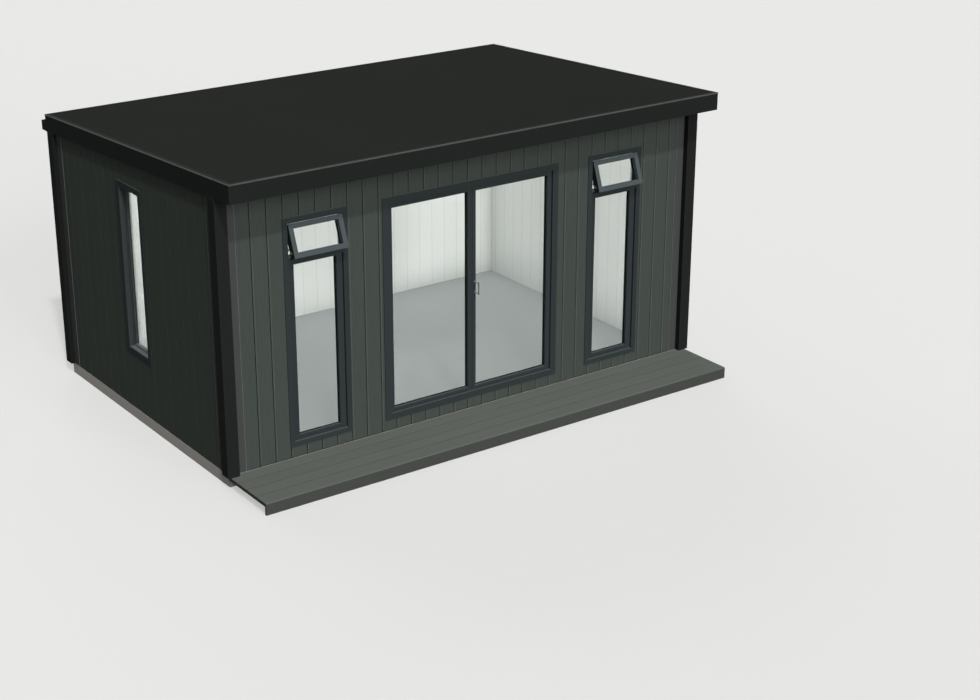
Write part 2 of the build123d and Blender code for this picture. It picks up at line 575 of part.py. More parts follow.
NODES = {
    "plinth": make_plinth(),
    "floor_joists": make_floor_joists(),
    "floor_panel": make_floor_panel(),
    "floor_finish": make_floor_finish(),
    "front_wall_left": make_front_wall(-1),
    "front_wall_right": make_front_wall(1),
    "front_wall_over_door": make_front_wall_over_door(),
    "front_wall_under_door": make_front_wall_under_door(),
    "left_wall": make_side_wall(-1),
    "right_wall": make_side_wall(1),
    "back_wall": make_back_wall(),
    "front_cladding": make_front_cladding(),
    "left_cladding": make_side_cladding(-1),
    "right_cladding": make_side_cladding(1),
    "back_cladding": make_back_cladding(),
    "wall_lining": make_wall_lining(),
    "ceiling": make_ceiling(),
    "corner_post_front_left": make_corner_post(-1, -1),
    "corner_post_front_right": make_corner_post(1, -1),
    "corner_post_back_left": make_corner_post(-1, 1),
    "corner_post_back_right": make_corner_post(1, 1),
    "roof_panel": make_roof_panel(),
    "roof_membrane": make_roof_membrane(),
    "front_fascia": make_front_fascia(),
    "back_fascia": make_back_fascia(),
    "side_fascias": [make_side_fascia(-1), make_side_fascia(1)],
    "roof_edge_trim": make_edge_trim(),
    "soffit": make_soffit(),
    "gutter": make_gutter(),
    "door_frame": make_door_frame(),
    "door_hinges": make_door_hinges(),
    "door_left_leaf": mirrored(make_right_leaf()),
    "door_left_glass": mirrored(right_glass_block()),
    "door_right_leaf": make_right_leaf(),
    "door_right_glass": right_glass_block(),
    "door_handles": make_door_handles(),
    "front_window_frames": [make_window_frame(-WINDOW_CENTRE), make_window_frame(WINDOW_CENTRE)],
    "window_vents": [make_vent(-WINDOW_CENTRE), make_vent(WINDOW_CENTRE)],
    "front_window_glass": make_window_glass(-WINDOW_CENTRE) + make_window_glass(WINDOW_CENTRE),
    "vent_stays": make_vent_stays(),
    "side_window_frame": make_side_window_frame(),
    "side_window_glass": make_side_window_glass(),
    "step_boards": make_step_boards(),
    "step_fascia": make_step_fascia(),
    "step_bearers": make_step_bearers(),
}

os.makedirs("parts", exist_ok=True)
for name, shape in NODES.items():
    solid = Compound(children=shape) if isinstance(shape, list) else shape
    export_step(solid, f"parts/{name}.step")
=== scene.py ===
import math
import random

import bmesh
import bpy
from mathutils import Matrix, Vector


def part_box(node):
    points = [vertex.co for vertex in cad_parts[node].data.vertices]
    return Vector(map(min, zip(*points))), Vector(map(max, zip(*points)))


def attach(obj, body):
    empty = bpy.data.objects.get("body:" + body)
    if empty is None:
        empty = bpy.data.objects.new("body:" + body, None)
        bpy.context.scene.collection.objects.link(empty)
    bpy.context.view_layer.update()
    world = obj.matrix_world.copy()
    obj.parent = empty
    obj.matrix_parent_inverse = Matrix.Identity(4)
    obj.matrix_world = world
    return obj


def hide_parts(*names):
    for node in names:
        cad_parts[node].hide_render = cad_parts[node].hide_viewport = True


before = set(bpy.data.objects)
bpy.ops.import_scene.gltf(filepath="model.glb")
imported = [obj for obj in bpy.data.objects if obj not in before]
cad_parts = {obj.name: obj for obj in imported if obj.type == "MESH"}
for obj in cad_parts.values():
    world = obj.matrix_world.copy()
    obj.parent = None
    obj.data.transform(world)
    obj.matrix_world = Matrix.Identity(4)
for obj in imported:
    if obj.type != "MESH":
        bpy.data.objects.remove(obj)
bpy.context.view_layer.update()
random.seed(11)

# ---- Sizes that the boxes don't give, in metres ---------------------------------------------
ROOF_FALL = 0.190
UNDER_ROOF = 0.153           # roof's top to the heads of the walls
POST_HEAD_DROP = 0.165       # roof's top to the heads of the corner posts
CLAD = 0.022
LINING = 0.012
FRONT_PITCH = 0.1541
SIDE_PITCH = 0.1553
LINING_PITCH = 0.160
FRONT_JOINT = -2.2155        # where one joint falls, in X on the front and the back
SIDE_JOINT = -0.636          # the same in Y on the sides
FRAME_FACE = 0.048
SASH_SETBACK = 0.022
SASH_DEPTH = 0.050
SASH_FACE = 0.058
SASH_HEAD_FACE = 0.024
SASH_FOOT_FACE = 0.044
SIDE_FRAME_FACE = 0.057
SIDE_BEAD_FACE = 0.011
SIDE_BEAD_SETBACK = 0.045
SIDE_GLASS_SETBACK = 0.059
GLASS_REBATE = 0.008
GLASS_SETBACK = 0.022
GLASS_THICKNESS = 0.024
GLASS_SHEET = 0.004
WHITE_FROM = SASH_SETBACK + GLASS_SETBACK + GLASS_THICKNESS  # frames are white behind this depth
VENT_HEIGHT = 0.300
VENT_FACE = 0.044
VENT_DEPTH = 0.070
VENT_GLASS_SETBACK = 0.042
VENT_GAP = 0.004
VENT_ANGLE = math.radians(20)
TRANSOM = 0.048
WINDOW_WIDTH = 0.624
DOOR_FACE = 0.062
DOOR_RING = 0.050
DOOR_STOP = 0.016
LEAF_STILE = 0.052
LEAF_FOOT_FACE = 0.042
MEETING_STILE = 0.040
POST_WIDTH = 0.112
SIDE_REACH = 0.218           # corner to a flashing's edge on a side wall
END_REACH = 0.205            # corner to a flashing's edge on the front or back wall
POST_PROUD_ENDS = 0.058
POST_PROUD_SIDES = 0.040
REVEAL = 0.009
STEP_BOARDS = 4
DECK_JOINT = 0.0050
NOSING = 0.010

# ---- Small sizes shared by many pieces ------------------------------------------------------
CLEAR = 0.0002               # kept between pieces that would touch
GLASS_CLEAR = 0.0004         # kept between a bead or rebate and the glass
REVEAL_CLEAR = 0.0005        # kept round a reveal board
SOFT_CLEAR = 0.0004          # kept beside a fixed sash, a brush strip and the step's front board
BEAD_CLEAR = 0.0003          # kept between the side window's frame and its bead
ARRIS = 0.003                # eased corner of a frame member
BEAD_ARRIS = 0.004           # the same on a sash or bead, measured in depth
COAT_EDGE = 0.0012           # rounding of coated frames and reveals
METAL_EDGE = 0.0008          # rounding of strips and brackets
STEEL_EDGE = 0.0006          # rounding of stays and hinges
TIMBER_EDGE = 0.0015         # rounding of joists and bearers
TRIM_EDGE = 0.0025           # rounding of posts and fascias
SHEET_EDGE = 0.001           # rounding of the gutter and the soffit
PLINTH_EDGE = 0.004
EPS = 1e-6
MERGE = 1e-7                 # points this close become one
CAD_MERGE = 1e-5             # the same on a mesh that comes from the CAD
LEAST_STRIP = 5e-4           # narrower parts of a board are left out
GROOVE_TOLERANCE = 0.0004    # a side this near the groove's depth is its floor
BEVEL_LIMIT = math.radians(32)   # sharper edges are rounded
SMOOTH_LIMIT = math.radians(34)  # sharper edges are shaded sharp

# ---- Places read from the CAD ---------------------------------------------------------------
ROOF0, ROOF1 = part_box("roof_edge_trim")
CLAD0, CLAD1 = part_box("front_cladding")
CLAD_X1 = CLAD1.x
CLAD_Y0 = CLAD0.y
CLAD_Y1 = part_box("back_cladding")[1].y
PLINTH_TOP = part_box("plinth")[1].z
DOOR0, DOOR1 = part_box("door_frame")
SIDE0, SIDE1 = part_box("side_window_frame")
WIN0, WIN1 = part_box("front_window_frames")
LINE0, LINE1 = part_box("wall_lining")
ROOM0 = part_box("floor_finish")[0]
FRAME_Y0 = DOOR0.y
FRAME_DEPTH = WIN1.y - WIN0.y
DOOR_DEPTH = DOOR1.y - DOOR0.y
SILL = DOOR0.z
HEAD = DOOR1.z
WINDOWS = ((WIN0.x, WIN0.x + WINDOW_WIDTH), (WIN1.x - WINDOW_WIDTH, WIN1.x))

# Openings as (first, last, foot, head) along their wall.
DOOR_RECT = (DOOR0.x, DOOR1.x, SILL, HEAD)
SIDE_RECT = (SIDE0.y, SIDE1.y, SIDE0.z, SIDE1.z)
FRONT_HOLES = [DOOR_RECT, *((x0, x1, SILL, HEAD) for x0, x1 in WINDOWS)]
SIDE_HOLES = [SIDE_RECT]


def roof_z(y, drop=0.0):
    """Height of the roof's top at y, less a drop."""
    return ROOF1.z - ROOF_FALL * (y - ROOF0.y) / (ROOF1.y - ROOF0.y) - drop


# ---- Materials ------------------------------------------------------------------------------
def rgb(r, g, b):
    """A colour written as it shows, 0 to 255, made linear."""
    out = []
    for v in (r, g, b):
        v /= 255
        out.append(v / 12.92 if v <= 0.04045 else ((v + 0.055) / 1.055) ** 2.4)
    return (*out, 1.0)


# Colour of painted shade, laid on groove floors, the vent sashes' outer sides and the plinth's
# rounded edges.
PAINTED_SHADE_COLOUR = rgb(16, 17, 16)
PAINTED_SHADE_AMOUNT = -0.9               # a mark below 0 is painted shade to this extent
BOARD_SHIFT = 3.7                # how far a tone of 1 moves a board's pattern, in metres
MIX_A, MIX_B, MIX_OUT = 6, 7, 2  # the colour sockets of a Mix node


class Nodes:
    """A short way to add and join nodes in one material."""

    def __init__(self, name):
        self.material = bpy.data.materials.new(name)
        self.material.use_nodes = True
        self.tree = self.material.node_tree
        self.tree.nodes.clear()
        self.out = self.tree.nodes.new("ShaderNodeOutputMaterial")

    def add(self, kind, inputs=None, **settings):
        node = self.tree.nodes.new("ShaderNode" + kind)
        for key, value in settings.items():
            setattr(node, key, value)
        for key, value in (inputs or {}).items():
            socket = node.inputs[key]
            if isinstance(value, bpy.types.NodeSocket):
                self.tree.links.new(value, socket)
            else:
                socket.default_value = value
        return node

    def math(self, operation, *values, clamp=False):
        inputs = dict(enumerate(values))
        return self.add("Math", inputs, operation=operation, use_clamp=clamp).outputs[0]

    def noise(self, vector, detail=4.0, rough=0.55):
        inputs = {"Vector": vector, "Scale": 1.0, "Detail": detail, "Roughness": rough}
        return self.add("TexNoise", inputs).outputs["Fac"]

    def scaled(self, vector, scale):
        return self.add("Mapping", {"Vector": vector, "Scale": scale}).outputs[0]

    def ramp(self, value, start, end, low, high, **settings):
        """Carries start to end over to low to high."""
        inputs = {"Value": value, "From Min": start, "From Max": end, "To Min": low, "To Max": high}
        return self.add("MapRange", inputs, **settings).outputs[0]

    def mark(self, name):
        return self.add("Attribute", attribute_name=name).outputs["Fac"]

    def relief(self, height, strength, distance):
        inputs = {"Height": height, "Strength": strength, "Distance": distance}
        return self.add("Bump", inputs).outputs[0]

    def mix(self, factor, a, b):
        inputs = {"Factor": factor, MIX_A: a, MIX_B: b}
        return self.add("Mix", inputs, data_type="RGBA").outputs[MIX_OUT]

    def finish(self, shader):
        self.tree.links.new(shader, self.out.inputs[0])
        return self.material


def surface(name, colour, broad, fine, spread=0.06, fine_spread=0.05, tones=0.05, painted_light=None,
            wear=0.8, inner=None, streak=0.0, streak_scale=None, rough=(0.45, 0.6), bump=0.3,
            distance=0.0006, **sockets):
    """A surface with broad and fine variation, streaks along its grain, painted highlights and
    painted shade on marked sides, its own inner colour and its own relief."""
    n = Nodes(name)
    coords = n.add("TexCoord").outputs["Object"]
    tone = n.mark("tone")
    shifts = {i: n.math("MULTIPLY", tone, BOARD_SHIFT + i) for i in range(3)}
    shift = n.add("CombineXYZ", shifts).outputs[0]
    place = n.add("VectorMath", {0: coords, 1: shift}, operation="ADD").outputs[0]
    slow = n.noise(n.scaled(place, broad))
    quick = n.noise(n.scaled(place, fine), detail=6.0, rough=0.65)
    level = n.math("MULTIPLY_ADD", slow, 2 * spread, 1 - spread - fine_spread)
    level = n.math("ADD", level, n.math("MULTIPLY", quick, 2 * fine_spread))
    level = n.math("ADD", level, n.math("MULTIPLY", tone, tones))
    height = quick
    if streak:
        grain = n.noise(n.scaled(place, streak_scale), detail=5.0, rough=0.7)
        lines = n.ramp(grain, 0.36, 0.52, 1 - streak, 1.0, interpolation_type="SMOOTHSTEP")
        level = n.math("MULTIPLY", level, lines)
        height = n.math("ADD", n.math("MULTIPLY", quick, 0.4), n.math("MULTIPLY", lines, 0.9))
    tint = n.add("VectorMath", {0: colour[:3], "Scale": level}, operation="SCALE")
    shown = tint.outputs[0]
    # Sides marked above 0 take the second colour, a painted highlight on most materials; sides
    # marked below 0 are painted dark as painted shade.
    if painted_light:
        mark = n.mark("wear")
        patch = n.noise(n.scaled(coords, (9, 9, 9)), detail=5.0, rough=0.7)
        patch = n.ramp(patch, 0.3, 0.62, 0.55, 1.0)
        amount = n.math("MULTIPLY", n.math("MULTIPLY", mark, patch), wear, clamp=True)
        shown = n.mix(amount, shown, painted_light)
        amount = n.math("MULTIPLY", n.math("MULTIPLY", mark, patch), PAINTED_SHADE_AMOUNT, clamp=True)
        shown = n.mix(amount, shown, PAINTED_SHADE_COLOUR)
    if inner:
        shown = n.mix(n.mark("inner"), shown, inner)
    gloss = n.ramp(quick, 0.25, 0.75, *rough)
    relief = n.relief(height, bump, distance)
    inputs = {"Base Color": shown, "Roughness": gloss, "Normal": relief, **sockets}
    return n.finish(n.add("BsdfPrincipled", inputs).outputs[0])


def glass_material():
    """Clear sealed glazing that lets lamps through and mirrors a little."""
    n = Nodes("clear_glazing")
    coords = n.add("TexCoord").outputs["Object"]
    smear = n.noise(n.scaled(coords, (5, 5, 3)), detail=5.0)
    gloss = n.ramp(smear, 0.3, 0.7, 0.015, 0.05)
    wave = n.noise(n.scaled(coords, (1.3, 1.3, 1.1)), detail=1.0)
    relief = n.relief(wave, 0.15, 0.0008)
    tint = n.mix(smear, (0.982, 0.984, 0.982, 1), (0.990, 0.991, 0.990, 1))
    through = n.add("BsdfTransparent", {"Color": tint}).outputs[0]
    inputs = {"Color": (0.93, 0.94, 0.94, 1), "Roughness": gloss, "Normal": relief}
    mirror = n.add("BsdfAnisotropic", inputs).outputs[0]
    facing = n.add("Fresnel", {"IOR": 1.35}).outputs[0]
    share = n.math("MULTIPLY", facing, 0.2, clamp=True)
    return n.finish(n.add("MixShader", {0: share, 1: through, 2: mirror}).outputs[0])


# Shared looks: low gloss, the direction of a grain, and the white of a frame's inner side.
DULL = {"Specular IOR Level": 0.05}
MATT = {"Specular IOR Level": 0.015}
SATIN = {"Specular IOR Level": 0.2}
UPRIGHT = (220, 220, 5)
LENGTHWISE = (4, 260, 260)
INNER_WHITE = rgb(210, 212, 209)
# Most surfaces have a lighter second colour, laid on rounded edges and lit cheeks as a painted
# highlight; the lining's is a pale grey, painted shade in its grooves.
MATERIALS = {
    "cladding": surface(
        "grey_board_paint", rgb(70, 76, 71), (1.5, 1.5, 0.5), (160, 160, 6), spread=0.02,
        fine_spread=0.05, tones=0.02, painted_light=rgb(94, 100, 95), wear=1.0, streak=0.16,
        streak_scale=UPRIGHT, rough=(0.6, 0.78), bump=0.35, distance=0.0007, **MATT),
    "flashing": surface(
        "grey_flashing_metal", rgb(69, 71, 70), (2, 2, 2), (500, 500, 500), spread=0.04,
        painted_light=rgb(98, 102, 99), wear=1.0, rough=(0.5, 0.62), bump=0.12, distance=0.0003, **DULL),
    "trim": surface(
        "black_powder_coat", rgb(34, 36, 35), (1.2, 1.2, 1.2), (700, 700, 700), spread=0.05,
        painted_light=rgb(62, 63, 63), wear=0.5, rough=(0.5, 0.62), bump=0.14, distance=0.0003, **DULL),
    "soffit": surface(
        "black_soffit_board", rgb(40, 41, 41), (2, 2, 2), (300, 300, 300), spread=0.08,
        painted_light=rgb(60, 60, 60), rough=(0.6, 0.75), **DULL),
    "roof": surface(
        "black_roof_rubber", rgb(25, 27, 24), (0.7, 0.7, 0.7), (380, 380, 380), spread=0.10,
        fine_spread=0.10, rough=(0.72, 0.88), bump=0.35, distance=0.0008, **MATT),
    "edge": surface(
        "dull_edge_metal", rgb(28, 30, 28), (2, 2, 2), (400, 400, 400), spread=0.08,
        painted_light=rgb(70, 70, 68), wear=1.25, rough=(0.5, 0.66), bump=0.15, **DULL),
    "frame": surface(
        "anthracite_coat", rgb(50, 56, 57), (1.5, 1.5, 1.5), (900, 900, 900), spread=0.03,
        fine_spread=0.03, painted_light=rgb(66, 72, 73), wear=0.5, inner=INNER_WHITE,
        rough=(0.46, 0.58), bump=0.12, distance=0.0002, **DULL),
    # The vent sashes have the frames' anthracite coat, made lighter as painted light on their
    # upward-tilted faces.
    "vent": surface(
        "vent_sash_coat_painted_light", rgb(66, 73, 75), (1.5, 1.5, 1.5), (900, 900, 900), spread=0.03,
        fine_spread=0.03, painted_light=rgb(84, 90, 92), wear=0.6, inner=INNER_WHITE,
        rough=(0.46, 0.58), bump=0.12, distance=0.0002, **DULL),
    "seal": surface(
        "black_rubber_seal", rgb(24, 25, 26), (20, 20, 20), (600, 600, 600), spread=0.1,
        rough=(0.6, 0.75), **DULL),
    "steel": surface(
        "brushed_satin_steel", rgb(104, 106, 105), (8, 8, 8), (900, 900, 40), spread=0.05,
        painted_light=rgb(112, 114, 113), rough=(0.5, 0.65), bump=0.1, distance=0.0002, Metallic=0.15,
        **SATIN),
    # Its second colour, a pale grey, is painted shade in the lining's grooves and also lies on the
    # reveals' rounded edges.
    "lining": surface(
        "satin_white_lining", rgb(226, 228, 225), (0.8, 0.8, 0.8), (120, 120, 30), spread=0.012,
        fine_spread=0.012, tones=0.008, painted_light=rgb(172, 175, 172), rough=(0.4, 0.52), bump=0.1,
        distance=0.0003),
    "floor": surface(
        "grey_floor_covering", rgb(110, 115, 114), (0.8, 0.8, 0.8), (30, 300, 300), spread=0.02,
        fine_spread=0.04, streak=0.05, streak_scale=(6, 90, 90), rough=(0.42, 0.58), bump=0.1,
        distance=0.0003),
    "deck": surface(
        "grey_composite_board", rgb(71, 74, 70), (0.9, 2, 2), (10, 300, 300), spread=0.03,
        fine_spread=0.07, tones=0.04, painted_light=rgb(80, 83, 79), wear=0.5, streak=0.12,
        streak_scale=LENGTHWISE, rough=(0.65, 0.8), bump=0.4, distance=0.0006, **DULL),
    "concrete": surface(
        "pale_concrete", rgb(176, 173, 168), (3, 3, 3), (180, 180, 180), spread=0.07,
        fine_spread=0.07, painted_light=rgb(206, 203, 198), wear=0.6, rough=(0.8, 0.92), bump=0.6,
        distance=0.0012),
    "timber": surface(
        "treated_softwood", rgb(158, 128, 88), (2, 2, 2), (60, 60, 60), spread=0.1,
        fine_spread=0.08, tones=0.08, painted_light=rgb(182, 154, 112), streak=0.2,
        streak_scale=(60, 60, 60), rough=(0.65, 0.8), bump=0.3),
    "panel": surface(
        "insulated_panel_board", rgb(168, 148, 112), (3, 3, 3), (45, 45, 45), spread=0.12,
        fine_spread=0.12, streak=0.2, streak_scale=(35, 35, 70), rough=(0.7, 0.85), bump=0.3),
    "glass": glass_material(),
}


# ---- Mesh helpers ---------------------------------------------------------------------------
class Piece:
    """Gathers the solids of one named piece, with a tone for each board and marks on its faces: a
    mark above 0 takes the painted-highlight colour and below 0 painted shade; inner is the share of
    the inner colour."""

    LAYERS = ("wear", "tone", "inner")

    def __init__(self, name):
        self.name = name
        self.bm = bmesh.new()
        for key in self.LAYERS:
            setattr(self, key, self.bm.faces.layers.float.new(key))
        self.inside = 1.0    # inner value of the sides that solid is told are inner
        self.groove = -1.0   # mark of the sides that it is told take painted shade

    def solid(self, first, last, tone=0.0, painted_light=(), inner=(), painted_shade=()):
        """A closed solid between two matching outlines; the three lists name the sides given
        painted highlight, the inner colour and painted shade."""
        a = [self.bm.verts.new(p) for p in first]
        b = [self.bm.verts.new(p) for p in last]
        faces = []
        for i in range(len(a)):
            j = (i + 1) % len(a)
            face = self.bm.faces.new((a[i], a[j], b[j], b[i]))
            face[self.wear] = 1.0 if i in painted_light else self.groove if i in painted_shade else 0.0
            face[self.inner] = self.inside if i in inner else 0.0
            faces.append(face)
        faces.append(self.bm.faces.new(a[::-1]))
        faces.append(self.bm.faces.new(b))
        for face in faces:
            face[self.tone] = tone
        bmesh.ops.recalc_face_normals(self.bm, faces=faces)

    def box(self, lo, hi, tone=0.0):
        plan = ((lo[0], lo[1]), (hi[0], lo[1]), (hi[0], hi[1]), (lo[0], hi[1]))
        self.solid([Vector((x, y, lo[2])) for x, y in plan],
                   [Vector((x, y, hi[2])) for x, y in plan], tone)

    def tube(self, points, radius, sides, dome=0.0):
        """A round bar along points, with its ends drawn in over dome."""
        path = [Vector(p) for p in points]
        radii = [radius] * len(path)
        if dome:
            start = (path[1] - path[0]).normalized()
            end = (path[-2] - path[-1]).normalized()
            steps = [(1 - math.cos(t), math.sin(t)) for t in (0.3, 0.7, 1.1)]
            head = [path[0] + start * dome * s for s, _ in steps]
            tail = [path[-1] + end * dome * s for s, _ in reversed(steps)]
            shoulders = [path[0] + start * dome], [path[-1] + end * dome]
            path = head + shoulders[0] + path[1:-1] + shoulders[1] + tail
            rims = [radius * r for _, r in steps]
            radii = rims + [radius] * (len(path) - 2 * len(steps)) + rims[::-1]
        rings = []
        side = None
        for i, p in enumerate(path):
            along = (path[min(i + 1, len(path) - 1)] - path[max(i - 1, 0)]).normalized()
            if side is None:
                side = along.orthogonal().normalized()
            side = (side - along * side.dot(along)).normalized()
            up = along.cross(side)
            angles = [2 * math.pi * k / sides for k in range(sides)]
            rings.append([self.bm.verts.new(p + (side * math.cos(t) + up * math.sin(t)) * radii[i])
                          for t in angles])
        faces = []
        for a, b in zip(rings, rings[1:]):
            for k in range(sides):
                j = (k + 1) % sides
                faces.append(self.bm.faces.new((a[k], a[j], b[j], b[k])))
        faces.append(self.bm.faces.new(rings[0][::-1]))
        faces.append(self.bm.faces.new(rings[-1]))
        bmesh.ops.recalc_face_normals(self.bm, faces=faces)

    def bevel(self, width, segments=2, wear=1.0):
        """Rounds the sharp edges and gives the new strips this mark: above 0 they take the
        material's second colour, a painted highlight on most materials, and below 0 painted shade.
        """
        edges = [e for e in self.bm.edges
                 if len(e.link_faces) == 2 and e.calc_face_angle(0.0) > BEVEL_LIMIT]
        made = bmesh.ops.bevel(self.bm, geom=edges, offset=width, offset_type="OFFSET",
                               segments=segments, profile=0.6, affect="EDGES",
                               clamp_overlap=True)
        for face in made["faces"]:
            face[self.wear] = wear
            beside = (f[self.inner] for e in face.edges for f in e.link_faces)
            face[self.inner] = min(beside, default=0.0)

    def make(self, material, body, replaces=()):
        """Turns what was gathered into an object that rides on its body."""
        bmesh.ops.remove_doubles(self.bm, verts=self.bm.verts, dist=MERGE)
        for face in self.bm.faces:
            face.smooth = True
        for edge in self.bm.edges:
            edge.smooth = len(edge.link_faces) == 2 and edge.calc_face_angle(0.0) < SMOOTH_LIMIT
        mesh = bpy.data.meshes.new(self.name)
        self.bm.to_mesh(mesh)
        self.bm.free()
        obj = bpy.data.objects.new(self.name, mesh)
        bpy.context.scene.collection.objects.link(obj)
        mesh.materials.append(MATERIALS[material])
        weighted = obj.modifiers.new("flat_faces", "WEIGHTED_NORMAL")
        weighted.keep_sharp = True
        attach(obj, body)
        if replaces:
            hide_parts(*replaces)


def from_cad(node, name, material, width, segments=2, wear=1.0):
    """A copy of a CAD node with rounded edges that take painted highlight (painted shade when the
    mark is below 0), and a tone for each of its solids.
    """
    piece = Piece(name)
    bm = piece.bm
    bm.from_mesh(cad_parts[node].data)
    layers = bm.faces.layers.float
    for key in Piece.LAYERS:
        setattr(piece, key, layers.get(key) or layers.new(key))
    bmesh.ops.remove_doubles(bm, verts=bm.verts, dist=CAD_MERGE)
    bmesh.ops.dissolve_limit(bm, angle_limit=math.radians(1), verts=bm.verts, edges=bm.edges)
    seen = set()
    bm.faces.ensure_lookup_table()
    for face in bm.faces:
        if face in seen:
            continue
        tone = random.uniform(-1, 1)
        stack = [face]
        while stack:
            current = stack.pop()
            if current in seen:
                continue
            seen.add(current)
            current[piece.tone] = tone
            stack.extend(f for e in current.edges for f in e.link_faces if f not in seen)
    for face in bm.faces:
        face.material_index = 0
    piece.bevel(width, segments, wear=wear)
    piece.make(material, "pod", (node,))


def on_front(a, b, depth):
    return Vector((a, FRAME_Y0 + depth, b))


def on_left(a, b, depth):
    return Vector((SIDE0.x + depth, a, b))


def inset_rect(rect, by):
    return (rect[0] + by, rect[1] - by, rect[2] + by, rect[3] - by)


def member_ring(piece, place, rect, profile, widths=(1, 1, 1, 1), gap=0.00015, tone=True,
                painted_light=(), white_from=None, painted_shade=()):
    """Four mitred members around rect = (a0, a1, b0, b1). profile is (inset, depth) points;
    widths scale the inset of the left, right, bottom and top members; sides that lie deeper
    than white_from are white; gap is kept at each mitre."""
    inner = ()
    if white_from is not None:
        pairs = zip(profile, profile[1:] + profile[:1])
        inner = [i for i, (p, q) in enumerate(pairs) if min(p[1], q[1]) >= white_from - EPS]
    a0, a1, b0, b1 = rect
    left, right, bottom, top = widths
    corners = {
        "sw": lambda i: (a0 + i * left, b0 + i * bottom),
        "se": lambda i: (a1 - i * right, b0 + i * bottom),
        "ne": lambda i: (a1 - i * right, b1 - i * top),
        "nw": lambda i: (a0 + i * left, b1 - i * top),
    }
    for first, last, axis in (("sw", "se", 0), ("nw", "ne", 0), ("sw", "nw", 1), ("se", "ne", 1)):
        starts, ends = [], []
        for inset, depth in profile:
            p = list(corners[first](inset))
            q = list(corners[last](inset))
            p[axis] += gap
            q[axis] -= gap
            starts.append(place(p[0], p[1], depth))
            ends.append(place(q[0], q[1], depth))
        shade = random.uniform(-1, 1) if tone else 0.0
        piece.solid(starts, ends, shade, painted_light, inner, painted_shade)


def sealed_unit(glass, edge, place, rect, depth):
    """Two sheets of glass and the spacer between them."""
    a0, a1, b0, b1 = rect
    corners = ((a0, b0), (a1, b0), (a1, b1), (a0, b1))
    for start in (depth, depth + GLASS_THICKNESS - GLASS_SHEET):
        glass.solid([place(a, b, start) for a, b in corners],
                    [place(a, b, start + GLASS_SHEET) for a, b in corners])
    outer, inner = 0.001, 0.0095
    front = depth + GLASS_SHEET + CLEAR
    back = depth + GLASS_THICKNESS - GLASS_SHEET - CLEAR
    spacer = [(outer, front), (inner, front), (inner, back), (outer, back)]
    member_ring(edge, place, rect, spacer, tone=False)


def gasket(piece, place, rect, depth, inset):
    """A thin black seal where a bead meets the glass."""
    outer, back = inset - 0.003, depth - GLASS_CLEAR
    section = [(outer, depth - 0.0035), (inset + 0.0015, back), (outer, back)]
    member_ring(piece, place, rect, section, tone=False)


def sash_profile(start, face, front, back, glass):
    """A sash's section from its outer edge: flat face, eased arris, straight rebate and glass
    groove."""
    edge = start + face
    groove = edge - GLASS_REBATE
    near = glass - GLASS_CLEAR
    far = glass + GLASS_THICKNESS + CLEAR
    return [(start, front), (edge - BEAD_ARRIS, front), (edge - 0.0012, front + 0.0012),
            (edge, front + BEAD_ARRIS), (edge, near), (groove, near), (groove, far), (edge, far),
            (edge, back), (start, back)]


# ---- Boards on walls ------------------------------------------------------------------------
def along_x(y, way):
    """Places (s, depth, height) on a wall along X; depth runs from y, forwards or backwards."""
    return lambda s, d, z: Vector((s, y + way * d, z))


def along_y(x, way):
    """The same on a wall along Y."""
    return lambda s, d, z: Vector((x + way * d, s, z))


def clip_line(points, a, b):
    """The part of an outline, given from left to right, that lies between a and b."""
    out = []
    for (s0, d0), (s1, d1) in zip(points, points[1:]):
        if s1 < a or s0 > b or s1 <= s0:
            continue
        for s in (max(a, s0), min(b, s1)):
            d = d0 + (d1 - d0) * (s - s0) / (s1 - s0)
            if not out or abs(out[-1][0] - s) > EPS or abs(out[-1][1] - d) > EPS:
                out.append((s, d))
    return out


def board_wall(piece, place, span, first, pitch, section, thickness, bottom, top, holes,
               mirrored=False):
    """Upright boards across span, cut round the holes, with a joint at first. section is one
    board's outer face as (s, depth) and top gives a board's height at s."""
    start = first - math.ceil((first - span[0]) / pitch + EPS) * pitch
    while start < span[1] - EPS:
        line = [(start + s, d) for s, d in section]
        light = (line[2][0], line[3][0])  # the sloping cheek that catches the light, painted lighter as a painted highlight
        if mirrored:
            middle = start + pitch / 2
            line = [(2 * middle - s, d) for s, d in reversed(line)]
            light = (2 * middle - light[1], 2 * middle - light[0])
        tone = random.uniform(-1, 1)
        lo, hi = max(start, span[0]), min(start + pitch, span[1])
        cuts = sorted({lo, hi, *(c for h in holes for c in h[:2] if lo < c < hi)})
        for a, b in zip(cuts, cuts[1:]):
            if b - a < LEAST_STRIP:
                continue
            heights = [(bottom, None)]
            for s0, s1, z0, z1 in holes:
                if s0 < (a + b) / 2 < s1:
                    heights = [(bottom, z0), (z1, None)]
            face = clip_line(line, a, b)
            outline = face + [(b, thickness), (a, thickness)]
            # The cheek facing the light is painted lighter as a painted highlight; the groove floor
            # is painted dark as painted shade.
            painted_light, painted_shade = [], []
            for i, ((s0, d0), (s1, d1)) in enumerate(zip(face, face[1:])):
                if light[0] - EPS <= (s0 + s1) / 2 <= light[1] and abs(d0 - d1) > EPS:
                    painted_light.append(i)
                if min(d0, d1) > section[0][1] - GROOVE_TOLERANCE:
                    painted_shade.append(i)
            for z0, z1 in heights:
                low = [place(s, d, z0) for s, d in outline]
                high = [place(s, d, z1 if z1 is not None else top(s)) for s, d in outline]
                piece.solid(low, high, tone, painted_light, painted_shade=painted_shade)
        start += pitch


